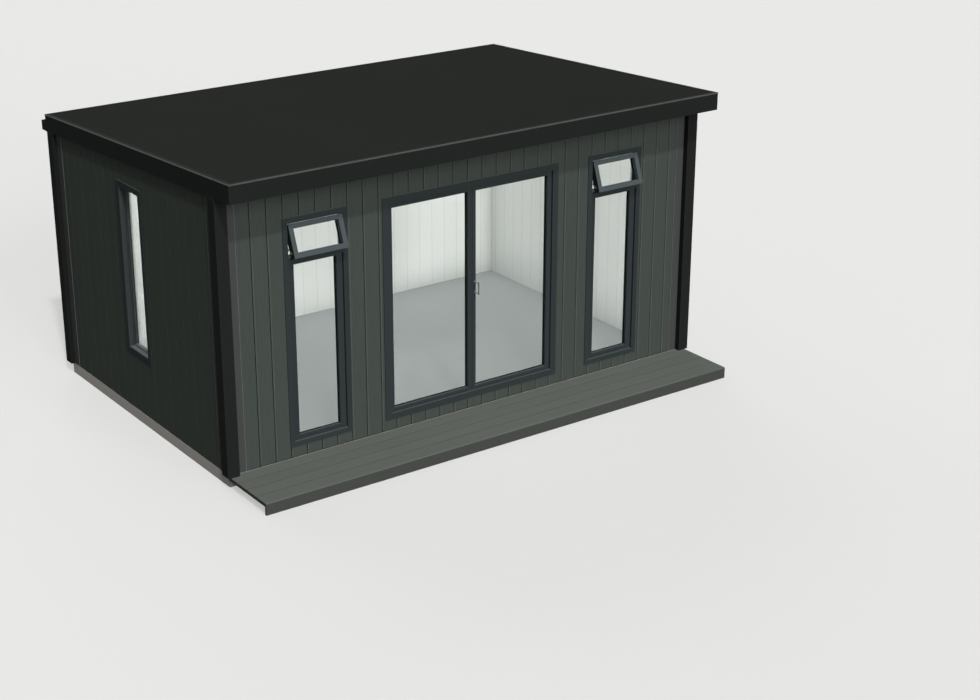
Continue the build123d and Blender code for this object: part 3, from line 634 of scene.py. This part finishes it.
def board(pitch, depth, floor, cheek):
    """One board's outer face across its width: groove floor, sloping cheek, flat face and
    eased edge."""
    return [(0.0, depth), (floor, depth), (floor + 0.0001, depth - 0.0003),
            (floor + cheek, 0.0006), (floor + cheek + 0.001, 0.0), (pitch - 0.0035, 0.0),
            (pitch - 0.0022, 0.0008), (pitch, depth)]


FOOT_GAP = 0.008             # plinth to the feet of the boards
BOARD_FOOT = PLINTH_TOP + FOOT_GAP
FRONT_BOARD = board(FRONT_PITCH, 0.011, 0.012, 0.0085)
SIDE_BOARD = board(SIDE_PITCH, 0.0030, 0.004, 0.0030)


def wall_top(y):
    return roof_z(y, UNDER_ROOF)


for name, y, way, top_y, holes in (("front", CLAD_Y0, 1, CLAD_Y0 + CLAD, FRONT_HOLES),
                                   ("back", CLAD_Y1, -1, CLAD_Y1, [])):
    wall = Piece(name + "_cladding_boards")
    board_wall(wall, along_x(y, way), (-CLAD_X1, CLAD_X1), FRONT_JOINT, FRONT_PITCH,
               FRONT_BOARD, CLAD, BOARD_FOOT, lambda s: wall_top(top_y), holes,
               mirrored=way < 0)
    wall.make("cladding", "pod", (name + "_cladding",))

for name, side, holes in (("left", -1, SIDE_HOLES), ("right", 1, [])):
    wall = Piece(name + "_cladding_boards")
    board_wall(wall, along_y(side * CLAD_X1, -side), (CLAD_Y0 + CLAD, CLAD_Y1 - CLAD),
               SIDE_JOINT, SIDE_PITCH, SIDE_BOARD, CLAD, BOARD_FOOT, wall_top, holes,
               mirrored=side < 0)
    wall.make("cladding", "pod", (name + "_cladding",))

# Starter strip under the feet of the boards.
starter = Piece("cladding_starter_strips")
STARTER_SETBACK = 0.0015
strip_foot, strip_head = PLINTH_TOP + CLEAR, BOARD_FOOT - CLEAR
for y in (CLAD_Y0 + STARTER_SETBACK, CLAD_Y1 - CLAD):
    starter.box((-CLAD_X1 + STARTER_SETBACK, y, strip_foot),
                (CLAD_X1 - STARTER_SETBACK, y + CLAD - STARTER_SETBACK, strip_head))
for x in (-CLAD_X1 + STARTER_SETBACK, CLAD_X1 - CLAD):
    starter.box((x, CLAD_Y0 + CLAD + CLEAR, strip_foot),
                (x + CLAD - STARTER_SETBACK, CLAD_Y1 - CLAD - CLEAR, strip_head))
starter.bevel(METAL_EDGE, wear=0.3)
starter.make("trim", "pod")

# ---- White lining boards inside -------------------------------------------------------------
LINE_GROOVE = 0.0009
LINE_BOARD = [(0.0, LINE_GROOVE), (0.0012, LINE_GROOVE), (0.0013, 0.0008), (0.0028, 0.0),
              (LINING_PITCH - 0.002, 0.0), (LINING_PITCH, LINE_GROOVE)]
LINING_GAP = 0.002           # between the lining of a side wall and that of an end wall
LINED_FRONT = LINE0.y + LINING


def lining_top(y):
    return roof_z(y, UNDER_ROOF + LINING)


lining = Piece("white_wall_lining")
lining.groove = 1.0          # the lining's grooves take its pale grey, as painted shade
for y, way, top_y, holes in ((LINE1.y - LINING, 1, LINE1.y, []),
                             (LINED_FRONT, -1, LINED_FRONT, FRONT_HOLES)):
    board_wall(lining, along_x(y, way), (LINE0.x, LINE1.x), 0.0, LINING_PITCH, LINE_BOARD,
               LINING, LINE0.z, lambda s: lining_top(top_y), holes)
for side, holes in ((-1, SIDE_HOLES), (1, [])):
    board_wall(lining, along_y(side * (LINE1.x - LINING), side),
               (LINED_FRONT + LINING_GAP, LINE1.y - LINING - LINING_GAP), 0.0, LINING_PITCH,
               LINE_BOARD, LINING, LINE0.z, lining_top, holes)
lining.make("lining", "pod", ("wall_lining",))

# White boards that line the depth of each opening, behind the frames.
reveals = Piece("opening_reveals")


def reveal_profile(frame_depth, wall_depth):
    start = frame_depth + REVEAL_CLEAR
    return [(REVEAL_CLEAR, start), (REVEAL, start), (REVEAL, wall_depth),
            (REVEAL_CLEAR, wall_depth)]


for rect in FRONT_HOLES:
    member_ring(reveals, on_front, rect, reveal_profile(DOOR_DEPTH, LINED_FRONT - FRAME_Y0))
member_ring(reveals, on_left, SIDE_RECT,
            reveal_profile(SIDE1.x - SIDE0.x, LINE0.x + LINING - SIDE0.x))
reveals.bevel(COAT_EDGE)
reveals.make("lining", "pod")

# ---- Corner posts and their flashings -------------------------------------------------------
FLANGE = 0.003
HEM = 0.0052


def flashing_profile(near, far, proud):
    """A flashing's section as (along the wall, in from the post's face), hemmed at far."""
    return [(near, proud - FLANGE), (far - 0.007, proud - FLANGE), (far - 0.0055, proud - HEM),
            (far - 0.001, proud - HEM), (far, proud - HEM + 0.001), (far, proud - CLEAR),
            (near, proud - CLEAR)]


for node in ("front_left", "front_right", "back_left", "back_right"):
    lo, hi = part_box("corner_post_" + node)
    sx = -1 if "left" in node else 1
    sy = -1 if "front" in node else 1
    corner_x = lo.x if sx < 0 else hi.x
    corner_y = lo.y if sy < 0 else hi.y

    def column(piece, outline, painted_light=()):
        """An upright solid. In the outline u runs in from the side face and v from the end."""
        spots = [(corner_x - sx * u, corner_y - sy * v) for u, v in outline]
        piece.solid([Vector((x, y, lo.z)) for x, y in spots],
                    [Vector((x, y, roof_z(y, POST_HEAD_DROP))) for x, y in spots], 0.0, painted_light)

    post = Piece("corner_post_shell_" + node)
    notch_u, notch_v = POST_PROUD_SIDES - CLEAR, POST_PROUD_ENDS - CLEAR
    column(post, [(0, 0), (POST_WIDTH, 0), (POST_WIDTH, notch_v), (notch_u, notch_v),
                  (notch_u, POST_WIDTH), (0, POST_WIDTH)])
    post.bevel(TRIM_EDGE, 3, wear=0.6)
    post.make("trim", "pod", ("corner_post_" + node,))

    flashing = Piece("corner_flashing_" + node)
    near = POST_WIDTH + CLEAR
    # The hem's sides are painted lighter as a painted highlight along each flashing's edge.
    hem = (1, 2, 3, 4)
    column(flashing, flashing_profile(near, END_REACH, POST_PROUD_ENDS), hem)
    column(flashing, [(v, u) for u, v in flashing_profile(near, SIDE_REACH, POST_PROUD_SIDES)],
           hem)
    flashing.make("flashing", "pod")

# ---- Roof -----------------------------------------------------------------------------------
TRIM_WIDTH, SHEET, LIP, CREASE = 0.045, 0.003, 0.012, 0.0065
CREASE_MIDDLE = CREASE * 0.3


def on_roof(a, b, drop):
    """Plan position with a drop below the sloping roof."""
    return Vector((a, b, roof_z(b, drop)))


trim = Piece("roof_edge_capping")
# The capping's lip and crease are painted lighter as a painted highlight along the roof's edge.
member_ring(trim, on_roof, (ROOF0.x, ROOF1.x, ROOF0.y, ROOF1.y),
            [(0, LIP), (0, CREASE), (CREASE_MIDDLE, CREASE_MIDDLE), (CREASE, 0), (TRIM_WIDTH, 0),
             (TRIM_WIDTH, SHEET), (SHEET, SHEET), (SHEET, LIP)],
            gap=0.0, tone=False, painted_light=(0, 1, 2))
trim.make("edge", "pod", ("roof_edge_trim",))

for node, name in (("front_fascia", "front_fascia_board"), ("back_fascia", "back_fascia_board"),
                   ("side_fascias", "side_fascia_boards")):
    from_cad(node, name, "trim", TRIM_EDGE, segments=3, wear=0.5)
from_cad("gutter", "rear_box_gutter", "trim", SHEET_EDGE)
from_cad("soffit", "soffit_boards", "soffit", SHEET_EDGE)

# Flat straps across the gutter's rim, each with a screw at its wall side.
BRACKETS = 9
BRACKET_END = 0.18           # gutter's end to the first strap's middle
BRACKET_HALF_WIDTH = 0.012
SCREW_DROP = 0.020
G0, G1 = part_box("gutter")
brackets = Piece("gutter_brackets")
strap_y0, strap_y1 = G0.y + 0.0032, G1.y - 0.0032
for i in range(BRACKETS):
    x = G0.x + BRACKET_END + (G1.x - G0.x - 2 * BRACKET_END) * i / (BRACKETS - 1)
    brackets.box((x - BRACKET_HALF_WIDTH, strap_y0, G1.z - 0.006),
                 (x + BRACKET_HALF_WIDTH, strap_y1, G1.z - 0.003), random.uniform(-1, 1))
    brackets.tube([(x, strap_y0 + depth, G1.z - SCREW_DROP) for depth in (0.0008, 0.006)],
                  radius=0.005, sides=6)
brackets.bevel(METAL_EDGE)
brackets.make("steel", "pod")

# ---- Windows and door frames ----------------------------------------------------------------
frames = Piece("front_window_frames_coated")
seals = Piece("front_window_seals")
panes = Piece("front_window_panes")
OUTER = [(0, 0), (FRAME_FACE - ARRIS, 0), (FRAME_FACE, ARRIS), (FRAME_FACE, WHITE_FROM),
         (FRAME_FACE, FRAME_DEPTH), (0, FRAME_DEPTH)]
LOWER_SASH = sash_profile(SOFT_CLEAR, SASH_FACE, SASH_SETBACK, SASH_SETBACK + SASH_DEPTH,
                          SASH_SETBACK + GLASS_SETBACK)
LOWER_WIDTHS = (1, 1, SASH_FOOT_FACE / SASH_FACE, SASH_HEAD_FACE / SASH_FACE)
LOWER_GLASS_DEPTH = SASH_SETBACK + GLASS_SETBACK
EDGE = FRAME_FACE + SASH_FACE
transom1 = HEAD - FRAME_FACE - VENT_HEIGHT
transom0 = transom1 - TRANSOM


def rail(piece, x0, x1, section):
    """A solid along X between x0 and x1 with this (depth, height) section."""
    piece.solid([on_front(x0, z, d) for d, z in section], [on_front(x1, z, d) for d, z in section])


for x0, x1 in WINDOWS:
    member_ring(frames, on_front, (x0, x1, SILL, HEAD), OUTER, white_from=WHITE_FROM)
    rail(frames, x0 + FRAME_FACE + CLEAR, x1 - FRAME_FACE - CLEAR,
         [(0, transom0), (0, transom1), (FRAME_DEPTH, transom1), (FRAME_DEPTH, transom0)])
    lower = (x0 + FRAME_FACE, x1 - FRAME_FACE, SILL + FRAME_FACE, transom0)
    member_ring(frames, on_front, lower, LOWER_SASH, LOWER_WIDTHS, white_from=WHITE_FROM)
    glazed = (x0 + EDGE - GLASS_REBATE, x1 - EDGE + GLASS_REBATE,
              SILL + FRAME_FACE + SASH_FOOT_FACE - GLASS_REBATE,
              transom0 - SASH_HEAD_FACE + GLASS_REBATE)
    sealed_unit(panes, seals, on_front, glazed, LOWER_GLASS_DEPTH)
    gasket(seals, on_front, glazed, LOWER_GLASS_DEPTH, GLASS_REBATE)


def on_vent(a, b, depth):
    """b is measured down from the vent's hinge line, as a negative number."""
    c, s = math.cos(VENT_ANGLE), math.sin(VENT_ANGLE)
    return Vector((a, FRAME_Y0 + depth * c + b * s,
                   HEAD - FRAME_FACE - VENT_GAP - depth * s + b * c))


BRUSH_FRONT, BRUSH_BACK, BRUSH_DROP = 0.004, 0.050, 0.016
vents = Piece("vent_sashes_coated")
vent_section = sash_profile(0, VENT_FACE, 0, VENT_DEPTH, VENT_GLASS_SETBACK)
for x0, x1 in WINDOWS:
    rect = (x0 + FRAME_FACE + VENT_GAP, x1 - FRAME_FACE - VENT_GAP,
            -(VENT_HEIGHT - 2 * VENT_GAP), 0)
    # The sash's outer sides, in the gap to the frame, are painted dark as painted shade.
    member_ring(vents, on_vent, rect, vent_section, white_from=VENT_DEPTH,
                painted_shade=(len(vent_section) - 1,))
    sealed_unit(panes, seals, on_vent, inset_rect(rect, VENT_FACE - GLASS_REBATE),
                VENT_GLASS_SETBACK)
    gasket(seals, on_vent, rect, VENT_GLASS_SETBACK, VENT_FACE)
    # Brush strip that closes the gap over the vent's hinge line.
    top = HEAD - FRAME_FACE - CLEAR
    rail(seals, x0 + FRAME_FACE + SOFT_CLEAR, x1 - FRAME_FACE - SOFT_CLEAR,
         [(BRUSH_FRONT, top), (BRUSH_BACK, top), (BRUSH_BACK, top - BRUSH_DROP),
          (BRUSH_FRONT, top - VENT_GAP + SOFT_CLEAR)])
frames.bevel(COAT_EDGE, wear=0.8)
frames.make("frame", "pod", ("front_window_frames",))
vents.bevel(COAT_EDGE, wear=0.0)
vents.make("vent", "pod", ("window_vents",))
seals.make("seal", "pod")
panes.make("glass", "pod", ("front_window_glass",))
from_cad("vent_stays", "vent_stay_arms", "steel", STEEL_EDGE)

side_frame = Piece("side_window_frame_coated")
side_frame.inside = 0.04     # this frame's inner white is painted nearly as dark as its coat, as painted shade
side_seals = Piece("side_window_seals")
side_panes = Piece("side_window_panes")
side_spacer = Piece("side_window_spacer")
member_ring(side_frame, on_left, SIDE_RECT,
            [(0, 0), (SIDE_FRAME_FACE - ARRIS, 0), (SIDE_FRAME_FACE, ARRIS),
             (SIDE_FRAME_FACE, SIDE_BEAD_SETBACK), (SIDE_FRAME_FACE, FRAME_DEPTH),
             (0, FRAME_DEPTH)], white_from=ARRIS)
bead0 = SIDE_FRAME_FACE + BEAD_CLEAR
bead1 = SIDE_FRAME_FACE + SIDE_BEAD_FACE
inset = bead1 - GLASS_REBATE
pane_front = SIDE_GLASS_SETBACK - GLASS_CLEAR
pane_back = SIDE_GLASS_SETBACK + GLASS_THICKNESS + CLEAR
member_ring(side_frame, on_left, SIDE_RECT,
            [(bead0, SIDE_BEAD_SETBACK), (bead1 - ARRIS, SIDE_BEAD_SETBACK),
             (bead1, SIDE_BEAD_SETBACK + BEAD_ARRIS), (bead1, pane_front), (inset, pane_front),
             (inset, pane_back), (bead1, pane_back), (bead1, FRAME_DEPTH), (bead0, FRAME_DEPTH)],
            white_from=ARRIS)
pane_rect = inset_rect(SIDE_RECT, inset)
sealed_unit(side_panes, side_spacer, on_left, pane_rect, SIDE_GLASS_SETBACK)
side_spacer.make("steel", "pod")
gasket(side_seals, on_left, pane_rect, SIDE_GLASS_SETBACK, GLASS_REBATE)
# A strong painted highlight along this frame's rounded edges.
side_frame.bevel(COAT_EDGE, wear=1.4)
side_frame.make("frame", "pod", ("side_window_frame",))
side_seals.make("seal", "pod")
side_panes.make("glass", "pod", ("side_window_glass",))

door = Piece("door_frame_coated")
member_ring(door, on_front, DOOR_RECT,
            [(0, 0), (DOOR_FACE - ARRIS, 0), (DOOR_FACE, ARRIS), (DOOR_FACE, DOOR_STOP),
             (DOOR_RING, DOOR_STOP), (DOOR_RING, WHITE_FROM), (DOOR_RING, DOOR_DEPTH),
             (0, DOOR_DEPTH)], white_from=WHITE_FROM)
door.bevel(COAT_EDGE, wear=0.8)
door.make("frame", "pod", ("door_frame",))
from_cad("door_hinges", "door_hinge_barrels", "steel", STEEL_EDGE)

MEETING = MEETING_STILE / LEAF_STILE
LEAF_FOOT = LEAF_FOOT_FACE / LEAF_STILE
for body, widths in (("door_left", (1, MEETING, LEAF_FOOT, 1)),
                     ("door_right", (MEETING, 1, LEAF_FOOT, 1))):
    lo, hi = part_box(body + "_leaf")
    setback = lo.y - FRAME_Y0
    glass_depth = setback + GLASS_SETBACK
    leaf = Piece(body + "_leaf_coated")
    section = sash_profile(0, LEAF_STILE, setback, setback + SASH_DEPTH, glass_depth)
    member_ring(leaf, on_front, (lo.x, hi.x, lo.z, hi.z), section, widths,
                white_from=glass_depth + GLASS_THICKNESS)
    leaf.bevel(COAT_EDGE, wear=0.8)
    leaf.make("frame", body, (body + "_leaf",))
    pane = Piece(body + "_panes")
    rubber = Piece(body + "_seals")
    g0, g1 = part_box(body + "_glass")
    glazed = (g0.x, g1.x, g0.z, g1.z)
    sealed_unit(pane, rubber, on_front, glazed, glass_depth)
    gasket(rubber, on_front, glazed, glass_depth, GLASS_REBATE)
    pane.make("glass", body, (body + "_glass",))
    rubber.make("seal", body)

# Seal in the joint between the two leaves.
leaf0, leaf1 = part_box("door_left_leaf")
strip = Piece("door_meeting_seal")
strip.box((leaf1.x + CLEAR, leaf0.y + 0.002, leaf0.z + 0.001),
          (0.0018, leaf0.y + 0.010, leaf1.z - 0.001))
strip.bevel(METAL_EDGE, wear=0.0)
strip.make("frame", "door_left")

# Upright pulls on both faces of the right leaf.
PULL_DOME = 0.004
FOOT_RADIUS = 0.0045
ROSE_RADIUS, ROSE_THICKNESS = 0.011, 0.004
H0, H1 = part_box("door_handles")
L0, L1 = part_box("door_right_leaf")
pulls = Piece("door_pull_handles")
middle = (H0.x + H1.x) / 2
radius = (H1.x - H0.x) / 2
for face, grip in ((L0.y, H0.y + radius), (L1.y, H1.y - radius)):
    pulls.tube([(middle, grip, H0.z), (middle, grip, H1.z)], radius, 20, dome=PULL_DOME)
    out = 1 if grip > face else -1
    for z in (H0.z + 2 * radius, H1.z - 2 * radius):
        foot = (middle, face + out * CLEAR, z)
        pulls.tube([(middle, grip, z), foot], FOOT_RADIUS, 16)
        pulls.tube([foot, (middle, face + out * ROSE_THICKNESS, z)], ROSE_RADIUS, 24)
pulls.make("steel", "door_right", ("door_handles",))

# ---- Step and base --------------------------------------------------------------------------
FASCIA0, FASCIA1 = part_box("step_fascia")
DECK0, DECK1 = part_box("step_boards")
TIGHT_EDGE, BOARD_EDGE = 0.001, 0.0035


def plank(piece, y0, y1, z0, z1, front, back, tone, painted_light=()):
    """A board along the step, its top edges rounded by the radii front and back."""
    turns = [math.radians(a) for a in (0, 22.5, 45, 67.5, 90)]
    section = [(y0, z0)]
    section += [(y0 + front * (1 - math.cos(t)), z1 - front * (1 - math.sin(t)))
                for t in turns]
    section += [(y1 - back * (1 - math.cos(t)), z1 - back * (1 - math.sin(t)))
                for t in reversed(turns)]
    section.append((y1, z0))
    piece.solid([Vector((FASCIA0.x, y, z)) for y, z in section],
                [Vector((FASCIA1.x, y, z)) for y, z in section], tone, painted_light)


step_front = Piece("step_front_board")
# The top of the nosing is painted lighter as a painted highlight.
plank(step_front, FASCIA0.y, FASCIA1.y - SOFT_CLEAR, FASCIA0.z, FASCIA1.z, NOSING, TIGHT_EDGE,
      0.0, painted_light=(2, 3, 4))
step_front.make("deck", "pod", ("step_fascia",))
deck = Piece("step_deck_boards")
width = (DECK1.y - DECK0.y) / STEP_BOARDS
for i in range(STEP_BOARDS):
    y0 = DECK0.y + i * width
    plank(deck, y0, y0 + width - DECK_JOINT, DECK0.z, DECK1.z,
          TIGHT_EDGE if i == 0 else BOARD_EDGE, BOARD_EDGE, random.uniform(-1, 1))
deck.make("deck", "pod", ("step_boards",))
from_cad("step_bearers", "step_bearer_timbers", "timber", TIMBER_EDGE)
# The plinth's rounded edges are painted darker as painted shade.
from_cad("plinth", "plinth_ring", "concrete", PLINTH_EDGE, segments=3,
         wear=-0.7)
from_cad("floor_joists", "floor_joist_timbers", "timber", TIMBER_EDGE)

# CAD nodes that keep their own shape and only take a material.
for key, nodes in (("panel", ("floor_panel", "roof_panel", "front_wall_left", "front_wall_right",
                              "front_wall_over_door", "front_wall_under_door", "left_wall",
                              "right_wall", "back_wall")),
                   ("floor", ("floor_finish",)), ("lining", ("ceiling",)),
                   ("roof", ("roof_membrane",))):
    for node in nodes:
        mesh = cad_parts[node].data
        mesh.materials.clear()
        mesh.materials.append(MATERIALS[key])

# ---- Floor, light and camera ----------------------------------------------------------------
BACKGROUND = rgb(232, 232, 230)
TOP_LIGHT = 1.9              # the light on the ground, by which its shown colour is divided
FLOOR_BOUNCE = (0.06, 0.06, 0.06, 1)  # the ground's colour to rays that nobody sees
FLOOR_REACH = 90.0
FLOOR_DROP = 0.0005          # keeps the ground just under the pod
WORLD_STRENGTH = 0.2

n = Nodes("pale_studio_floor")
path = n.add("LightPath")
seen = n.math("MAXIMUM", path.outputs["Is Camera Ray"], path.outputs["Is Transmission Ray"])
shown = tuple(c / TOP_LIGHT for c in BACKGROUND[:3]) + (1.0,)
colour = n.mix(seen, FLOOR_BOUNCE, shown)
material = n.finish(n.add("BsdfDiffuse", {"Color": colour}).outputs[0])
mesh = bpy.data.meshes.new("studio_floor")
corners = [(x * FLOOR_REACH, y * FLOOR_REACH, 0) for x, y in ((-1, -1), (1, -1), (1, 1), (-1, 1))]
mesh.from_pydata(corners, [], [(0, 1, 2, 3)])
mesh.materials.append(material)
floor = bpy.data.objects.new("studio_floor", mesh)
floor.location.z = -FLOOR_DROP
bpy.context.scene.collection.objects.link(floor)


def lamp(name, kind, direction, **settings):
    data = bpy.data.lights.new(name, kind)
    for key, value in settings.items():
        setattr(data, key, value)
    obj = bpy.data.objects.new(name, data)
    obj.rotation_euler = Vector(direction).to_track_quat("-Z", "Y").to_euler()
    bpy.context.scene.collection.objects.link(obj)
    return obj


def sun(name, direction, strength, softness, **settings):
    """A strength of 1 shows a white face square to the sun as white; softness is in degrees."""
    return lamp(name, "SUN", direction, energy=math.pi * strength,
                angle=math.radians(softness), **settings)


sun("key_light", (0.36, 1.0, -1.33), 0.426, 2.5)
sun("front_fill", (0.0, 1.0, -0.33), 0.63, 40)
sun("top_fill", (0.0, 0.0, -1.0), 1.06, 10, use_shadow=False)
behind = sun("back_fill", (-0.12, -1.0, -0.35), 0.40, 55)
behind.visible_glossy = False

# Lamps inside the room: name, place, direction, watts, width and height.
FRONT, RIGHT, DOWN = (0.0, 1.0, 0.0), (1.0, 0.0, 0.0), (0.0, 0.0, -1.0)
ROOM_LAMP_SPREAD = math.radians(14)
ROOM_LAMPS = (
    ("room_back_wall_light", (0.0, ROOM0.y + 0.03, 1.25), FRONT, 9.6, (4.7, 2.25)),
    ("room_back_left_light", (-1.72, ROOM0.y + 0.04, 1.25), FRONT, 4.2, (1.3, 2.25)),
    ("room_back_right_light", (1.82, ROOM0.y + 0.04, 1.25), FRONT, 2.0, (1.1, 2.25)),
    ("room_back_upper_light", (0.0, ROOM0.y + 0.05, 1.68), FRONT, 2.6, (4.7, 1.4)),
    ("room_right_wall_light", (ROOM0.x + 0.03, 0.24, 1.25), RIGHT, 5.6, (2.8, 2.25)),
    ("room_right_front_light", (ROOM0.x + 0.04, -0.62, 1.25), RIGHT, 1.5, (1.1, 2.25)),
    ("room_floor_light", (0.0, 0.24, 2.36), DOWN, 22.0, (4.7, 2.8)),
)
for name, place, direction, watts, size in ROOM_LAMPS:
    inside = lamp(name, "AREA", direction, energy=watts, shape="RECTANGLE", size=size[0],
                  size_y=size[1], spread=ROOM_LAMP_SPREAD)
    inside.location = place
    inside.visible_camera = False
    inside.visible_glossy = False
    inside.visible_transmission = False

# A dim world that camera and transmission rays see as the plain background.
world = bpy.data.worlds.new("studio")
world.use_nodes = True
bpy.context.scene.world = world
tree = world.node_tree
tree.nodes.clear()
path = tree.nodes.new("ShaderNodeLightPath")
seen = tree.nodes.new("ShaderNodeMath")
seen.operation = "MAXIMUM"
soft = tree.nodes.new("ShaderNodeBackground")
soft.inputs["Color"].default_value = (1, 1, 1, 1)
soft.inputs["Strength"].default_value = WORLD_STRENGTH
plain = tree.nodes.new("ShaderNodeBackground")
plain.inputs["Color"].default_value = BACKGROUND
both = tree.nodes.new("ShaderNodeMixShader")
shown = tree.nodes.new("ShaderNodeOutputWorld")
for start, end in ((path.outputs["Is Camera Ray"], seen.inputs[0]),
                   (path.outputs["Is Transmission Ray"], seen.inputs[1]),
                   (seen.outputs[0], both.inputs[0]), (soft.outputs[0], both.inputs[1]),
                   (plain.outputs[0], both.inputs[2]), (both.outputs[0], shown.inputs[0])):
    tree.links.new(start, end)

# The camera solved from the photo: place in metres, lens and sensor in millimetres.
CAMERA_PLACE = (-9.0973, -14.1123, 6.9634)
CAMERA_LENS = 68.784
CAMERA_SENSOR = 36.0
CAMERA_FAR = 300.0
yaw, dip, roll = math.radians(-36.0), math.radians(21.867), math.radians(0.205)
forward = Vector((-math.sin(yaw) * math.cos(dip), math.cos(yaw) * math.cos(dip),
                  -math.sin(dip)))
level = Vector((math.cos(yaw), math.sin(yaw), 0.0))
right = level * math.cos(roll) + level.cross(forward) * math.sin(roll)
up = right.cross(forward)
data = bpy.data.cameras.new("photo_camera")
data.lens = CAMERA_LENS
data.sensor_width = CAMERA_SENSOR
data.clip_end = CAMERA_FAR
camera = bpy.data.objects.new("photo_camera", data)
camera.matrix_world = Matrix((right, up, -forward)).transposed().to_4x4()
camera.location = CAMERA_PLACE
bpy.context.scene.collection.objects.link(camera)
bpy.context.scene.camera = camera
bpy.context.scene.view_settings.view_transform = "Standard"
